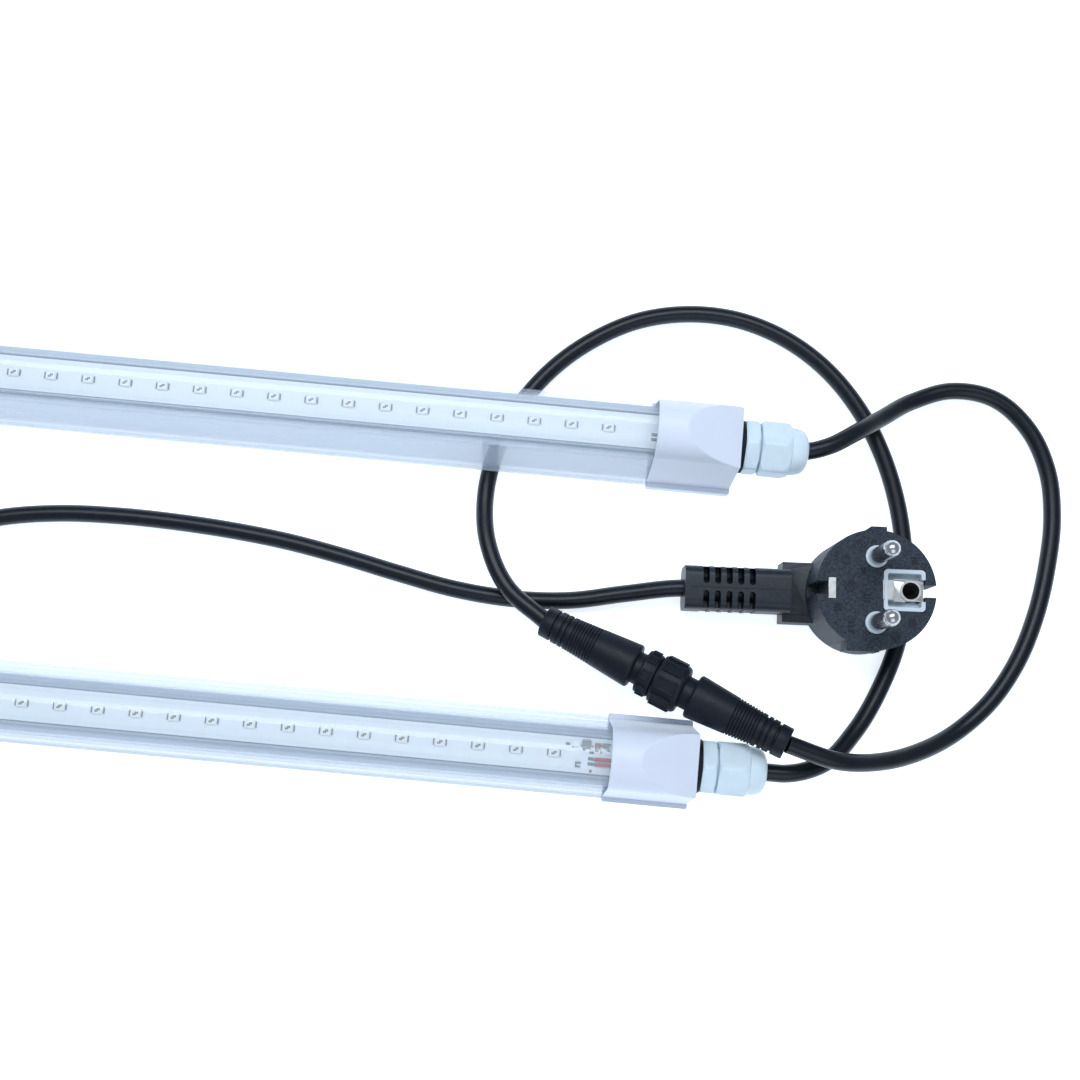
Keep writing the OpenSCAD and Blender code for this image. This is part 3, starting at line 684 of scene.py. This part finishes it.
def turned_hex(profile, across_flats=None, turn=0.0, corner=0.25, count=144):
    """Rings of a turned shape with optional hexagon flats: profile holds (distance, radius, is_hex)."""
    rings = []
    for x, r, is_hex in profile:
        ring = []
        for k in range(count):
            a = 360.0 * k / count
            size = r
            if is_hex:
                off = (a - turn) % 60 - 30
                flat = across_flats / 2 / math.cos(math.radians(off))
                size = min(r, flat, across_flats / 2 / math.cos(math.radians(30)) - corner)
            ring.append((x, size * math.cos(math.radians(a)), size * math.sin(math.radians(a))))
        rings.append(ring)
    return rings


def make_gland(tag, at, side, key, nut_body):
    """The gasket, the flange with its thread, and the domed nut of one cable gland."""
    place = gland_place(at, side)
    profile = [
        (0.0, 6.3, False), (0.0, 7.5, False), (0.2, 7.75, False), (0.95, 7.85, False),
        (1.7, 7.75, False), (1.9, 7.5, False), (1.9, 6.3, False),
    ]
    obj = mesh_object("gasket_" + tag, *skin(turned_hex(profile, count=96), loop=True), place)
    finish_piece(obj, SEAL)
    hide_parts("gasket_" + key)

    profile = [
        (-2.0, 6.2, False), (1.9, 6.2, False), (1.9, 7.7, True), (2.15, 8.1, True), (2.5, 8.4, True),
        (5.3, 8.4, True), (5.7, 8.1, True), (6.0, 7.6, True), (6.0, 5.9, False), (14.0, 5.9, False),
    ]
    obj = mesh_object("gland_flange_" + tag, *skin(turned_hex(profile, FLANGE_FLATS, HEX_TURN)), place)
    finish_piece(obj, GLAND, bevel=0.12, smooth=18)
    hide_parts("gland_body_" + key)

    profile = [
        (9.0, 5.95, False), (6.6, 5.95, False), (6.6, 7.5, True), (6.8, 7.9, True), (7.3, 8.8, True),
        (13.6, 8.8, True), (14.6, 8.2, True), (15.3, 7.7, True), (15.5, 7.3, False), (15.6, 7.1, False),
        (17.0, 6.95, False), (18.3, 6.7, False), (19.2, 6.3, False), (19.9, 5.7, False), (20.4, 5.0, False),
        (20.75, 4.2, False), (20.9, 3.7, False), (20.75, 3.4, False), (20.3, 3.3, False), (18.3, 3.3, False),
    ]
    obj = mesh_object("gland_nut_" + tag, *skin(turned_hex(profile, NUT_FLATS, HEX_TURN)), place)
    finish_piece(obj, GLAND, body=nut_body, bevel=0.12, smooth=18)
    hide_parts("gland_nut_" + key)


for gland_tag, gland_at, gland_side, gland_key, gland_body in (
    ("far_right", FAR, 1, "a_right", "nut_a_right"),
    ("far_left", FAR, -1, "a_left", "nut_a_left"),
    ("near", NEAR, 1, "b", "nut_b"),
):
    make_gland(gland_tag, gland_at, gland_side, gland_key, gland_body)


# ---------- connector ----------
CON_AXIS = (CON_END - CON_START).normalized()
CON_L = (CON_END - CON_START).length
CON_PLACE = Matrix.Translation(CON_START) @ Matrix.Rotation(
    math.atan2(CON_AXIS.y, CON_AXIS.x), 4, "Z"
) @ Matrix.Rotation(math.pi / 2 - math.asin(CON_AXIS.z), 4, "Y")


def revolved(profile, count=96):
    """Rings of a turned shape from (radius, distance along Z)."""
    rings = []
    for r, s in profile:
        angles = [2 * math.pi * k / count for k in range(count)]
        rings.append([(r * math.cos(a), r * math.sin(a), s) for a in angles])
    return rings


def barrel_radius(s):
    """The barrel's radius at distance s from its cord end, along its taper."""
    return 5.05 + (6.65 - 5.05) * (s - 9.2) / (29.5 - 9.2)


def barrel_profile():
    """One overmoulded barrel from its cord end to its neck: end rings, flexing ribs, smooth taper."""
    profile = [(2.7, 0.0), (4.3, 0.0), (4.6, 0.12), (4.72, 0.4), (4.78, 3.3), (4.6, 3.5)]
    profile += [(4.15, 3.55), (4.15, 4.1), (4.7, 4.15), (4.85, 4.3), (4.9, 5.8), (4.75, 5.95)]
    profile += [(4.5, 6.0), (4.5, 6.3), (4.8, 6.35), (4.95, 6.5), (5.0, 7.4), (4.85, 7.55)]
    profile += [(4.35, 7.6), (4.35, 8.1), (4.9, 8.15), (5.02, 8.3)]
    for i in range(9):
        s = 9.5 + 0.92 * i
        r = barrel_radius(s)
        profile += [(r, s), (r - 0.08, s + 0.06), (r - 0.32, s + 0.1)]
        profile += [(r - 0.32, s + 0.3), (r - 0.06, s + 0.34), (r + 0.02, s + 0.4)]
    profile += [(barrel_radius(18.5), 18.5), (barrel_radius(24), 24), (barrel_radius(28.9), 28.9)]
    profile += [(6.62, 29.3), (6.45, 29.7), (6.1, 30.0), (4.8, 30.02)]
    return profile


def frame_block(parts, angle, r, s, width, length, rim, height):
    """A raised rectangular rim on a turned surface."""
    a = math.radians(angle)
    out = Vector((math.cos(a), math.sin(a), 0))
    side = Vector((-math.sin(a), math.cos(a), 0))
    along = Vector((0, 0, 1))

    def pad(u0, u1, v0, v1, top):
        chamfer = 0.12
        rings = []
        for h, inset in ((-1.0, 0.0), (top - chamfer, 0.0), (top, chamfer)):
            ring = []
            for u, v in ((u0 + inset, v0 + inset), (u1 - inset, v0 + inset),
                         (u1 - inset, v1 - inset), (u0 + inset, v1 - inset)):
                ring.append(tuple(out * (r + h) + side * u + along * (s + v)))
            rings.append(ring)
        parts.add(*skin(rings))

    w, l = width / 2, length / 2
    pad(-w, w, -l, l, height - 0.16)
    pad(-w, -w + rim, -l, l, height)
    pad(w - rim, w, -l, l, height)
    pad(-w + rim, w - rim, -l, -l + rim, height)
    pad(-w + rim, w - rim, l - rim, l, height)


def arrow_mark(parts, angle, r, s, size, flip):
    """A small generic alignment arrow standing just proud of the barrel."""
    a = math.radians(angle)
    out = Vector((math.cos(a), math.sin(a), 0))
    side = Vector((-math.sin(a), math.cos(a), 0))
    outline = [(0, 1.5), (1.0, 0.1), (0.4, 0.1), (0.4, -1.4), (-0.4, -1.4), (-0.4, 0.1), (-1.0, 0.1)]
    rings = []
    for h in (-0.6, 0.1):
        ring = []
        for u, v in outline:
            bend = r - math.sqrt(r * r - (u * size) ** 2)
            ring.append(tuple(out * (r + h - bend) + side * (u * size) + Vector((0, 0, s + flip * v * size))))
        rings.append(ring)
    parts.add(*skin(rings))


def make_connector():
    """The two overmoulded halves and the ribbed ring that screws them together."""
    parts = Parts()
    profile = barrel_profile()
    profile += [(4.8, 32.2), (6.0, 32.2), (6.35, 32.35), (6.5, 32.6), (6.5, 36.2), (6.35, 36.5), (6.0, 36.6)]
    profile += [(5.4, 36.6), (5.4, 43.4), (3.6, 43.4), (3.6, 38.2)]
    parts.add(*skin(revolved(profile)))
    for i in range(8):
        frame_block(parts, 45 * i + 12, 6.5, 34.4, 2.9, 2.7, 0.4, 0.42)
    arrow_mark(parts, 172, barrel_radius(24.5), 24.5, 1.25, 1)
    obj = parts.build("connector_socket_shell", CON_PLACE)
    finish_piece(obj, CONNECTOR, bevel=0.06, segments=1, smooth=30)
    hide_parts("connector_socket_half")

    parts = Parts()
    profile = [(r, CON_L - s) for r, s in barrel_profile()]
    profile += [(4.8, 43.5), (3.5, 43.4), (3.5, 38.4)]
    parts.add(*skin(revolved(profile)))
    arrow_mark(parts, 172, barrel_radius(24.5), CON_L - 24.5, 1.25, -1)
    obj = parts.build("connector_plug_shell", CON_PLACE)
    finish_piece(obj, CONNECTOR, bevel=0.06, segments=1, smooth=30)
    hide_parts("connector_plug_half")

    parts = Parts()
    profile = [(5.75, 43.8), (5.75, 37.0), (6.8, 37.0), (7.05, 37.12), (7.15, 37.4), (7.15, 44.3)]
    profile += [(7.0, 44.9), (6.6, 45.4), (6.2, 45.6), (5.2, 45.6), (5.15, 45.5), (5.15, 44.8)]
    parts.add(*skin(revolved(profile)))
    for i in range(8):
        frame_block(parts, 45 * i + 12, 7.15, 40.9, 4.0, 6.2, 0.55, 0.42)
    obj = parts.build("coupling_ring", CON_PLACE)
    finish_piece(obj, CONNECTOR, body="coupling", bevel=0.06, segments=1, smooth=30)
    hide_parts("coupling_nut")


make_connector()

# ---------- plug ----------
PLUG_PLACE = Matrix.Translation(PLUG_AT) @ Matrix.Rotation(PLUG_TURN, 4, "Z")
ARM_START = -17.3
PIN_R = 2.4
PIN_DOME_Z = 41.6
PIN_Y = 9.5


def softened_copy(name, node, material, bevel, segments=2, smooth=32):
    """A copy of a CAD node with its flat faces joined and its edges rounded."""
    source = nodes[node]
    data = source.data.copy()
    data.materials.clear()
    mesh = bmesh.new()
    mesh.from_mesh(data)
    bmesh.ops.remove_doubles(mesh, verts=mesh.verts, dist=2e-6)
    bmesh.ops.dissolve_limit(mesh, angle_limit=math.radians(1.0), verts=mesh.verts, edges=mesh.edges)
    mesh.to_mesh(data)
    mesh.free()
    obj = bpy.data.objects.new(name, data)
    bpy.context.scene.collection.objects.link(obj)
    finish_piece(obj, material, bevel=bevel, segments=segments, smooth=smooth)
    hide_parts(node)
    return obj


def make_plug():
    """The plug's moulding in two finishes, its face marks, pins, collars and earth parts."""
    shell = softened_copy("plug_shell", "plug_body", [PLUG, PLUG_ARM], 0.3)
    to_plug = PLUG_PLACE.inverted()
    for polygon in shell.data.polygons:
        if (to_plug @ (polygon.center / MM)).x < ARM_START:
            polygon.material_index = 1

    # generic embossed rings and bars on the face, and the arm's seam
    parts = Parts()

    def emboss_ring(x, y, r, rim=0.22):
        count = 28
        rings = []
        for size, z in ((r, -0.1), (r, 0.24), (r - rim, 0.24), (r - rim, -0.1)):
            angles = [2 * math.pi * k / count for k in range(count)]
            rings.append([(x + size * math.cos(a), y + size * math.sin(a), PLUG_H + z) for a in angles])
        parts.add(*skin(rings, loop=True))

    for x, y, r in (
        (-4.9, 12.6, 1.7), (-8.9, 8.2, 1.3), (-7.6, 0.8, 1.6), (10.2, -9.3, 1.2), (5.6, -13.2, 1.3),
    ):
        emboss_ring(x, y, r)
        emboss_ring(x, y, r * 0.5)
    for x, y, w, h in (
        (-11.6, 9.2, 1.2, 2.6), (10.8, 8.8, 1.8, 2.0), (-3.8, 5.3, 1.5, 1.5), (-2.8, -2.6, 1.8, 2.4),
        (-11.0, -5.6, 2.4, 2.2), (-7.2, -10.8, 1.8, 3.4),
    ):
        for i in range(3):
            parts.box((x, y + (i - 1) * h / 2.6, PLUG_H - 0.1), (w, h / 6, 0.34), 0, 0.05)
    parts.box((-32, 0, 14.0), (40, 0.22, 0.2), 0, 0.06)
    obj = parts.build("plug_relief", PLUG_PLACE)
    finish_piece(obj, PLUG_ARM, smooth=30)

    tab = Parts()
    tab.box((3.3, 0, PLUG_H), (3.2, 5.8, 0.3), 0, 0.08)
    tab.box((1.9, 0, PLUG_H + 0.1), (0.5, 5.8, 0.5), 0, 0.1)
    for edge in (-1, 1):
        tab.box((6.6, edge * 3.1, PLUG_H - 1.2), (3.4, 0.4, 0.9), 0, 0.08)
    obj = tab.build("earth_strip_tab", PLUG_PLACE)
    finish_piece(obj, STRIP, smooth=30)

    for side, node in ((1, "plug_pin_live"), (-1, "plug_pin_neutral")):
        profile = [(2.0, 12.0), (2.0, 25.42), (2.3, 25.46), (PIN_R, 25.6), (PIN_R, PIN_DOME_Z)]
        for angle in range(10, 86, 8):
            a = math.radians(angle)
            profile.append((PIN_R * math.cos(a), PIN_DOME_Z + PIN_R * math.sin(a)))
        profile.append((0.05, 44.0))
        rings = revolved(profile, 64)
        place = PLUG_PLACE @ Matrix.Translation((0, side * PIN_Y, 0))
        obj = mesh_object(node + "_turned", *skin(rings), place)
        finish_piece(obj, METAL, smooth=30)
        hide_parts(node)

    softened_copy("earth_frame_soft", "plug_earth_frame", PALE, 0.18)
    softened_copy("collars_soft", "plug_collars", PALE, 0.15)
    softened_copy("earth_strip", "plug_earth_socket", STRIP, 0.08)
    softened_copy("earth_side_clip", "plug_earth_clip", STRIP, 0.1)


make_plug()


# ---------- carried-over CAD nodes ----------
def repaint(node, material):
    """Gives a CAD node that stays in view its finished material."""
    obj = nodes[node]
    obj.data.materials.clear()
    obj.data.materials.append(material)
    for polygon in obj.data.polygons:
        polygon.use_smooth = True


for inner_node, inner_material in (
    ("gland_locknut_a_right", GLAND), ("gland_locknut_a_left", GLAND), ("gland_locknut_b", GLAND),
    ("gland_seal_a_right", SEAL), ("gland_seal_a_left", SEAL), ("gland_seal_b", SEAL),
    ("connector_oring", SEAL), ("connector_pins", BRASS), ("connector_sleeves", BRASS), ("coil_ties", TIE),
):
    repaint(inner_node, inner_material)


# ---------- floor and light ----------
def make_stage():
    """A pale floor, an even pale world and two softboxes."""
    data = bpy.data.meshes.new("floor")
    half = 3.0
    corners = [(-half, -half, 0), (half, -half, 0), (half, half, 0), (-half, half, 0)]
    data.from_pydata(corners, [], [(0, 1, 2, 3)])
    floor = bpy.data.objects.new("floor", data)
    bpy.context.scene.collection.objects.link(floor)
    floor.location.z = -0.0002
    material = bpy.data.materials.new("floor_white")
    material.use_nodes = True
    shader = material.node_tree.nodes["Principled BSDF"]
    shader.inputs["Base Color"].default_value = (0.82, 0.89, 0.95, 1)
    shader.inputs["Roughness"].default_value = 0.9
    shader.inputs["Specular IOR Level"].default_value = 0.1
    shader.inputs["Emission Color"].default_value = (0.9, 0.95, 1, 1)
    shader.inputs["Emission Strength"].default_value = 0.8
    data.materials.append(material)

    world = bpy.data.worlds.new("studio")
    bpy.context.scene.world = world
    world.use_nodes = True
    background = world.node_tree.nodes["Background"]
    background.inputs["Color"].default_value = (0.78, 0.88, 1.0, 1)
    background.inputs["Strength"].default_value = 0.38

    def softbox(name, at, aim, size, power):
        light = bpy.data.lights.new(name, "AREA")
        light.shape = "RECTANGLE"
        light.size, light.size_y = size
        light.energy = power
        light.color = (0.86, 0.93, 1.0)
        obj = bpy.data.objects.new(name, light)
        bpy.context.scene.collection.objects.link(obj)
        obj.location = at
        obj.rotation_euler = (Vector(aim) - Vector(at)).to_track_quat("-Z", "Y").to_euler()

    softbox("key", (0.15, 0.35, 0.9), (0.25, 0, 0), (0.9, 0.35), 6.5)
    softbox("fill", (0.5, -0.7, 0.8), (0.25, 0, 0), (0.8, 0.8), 2.8)


make_stage()
bpy.context.scene.view_settings.view_transform = "Standard"
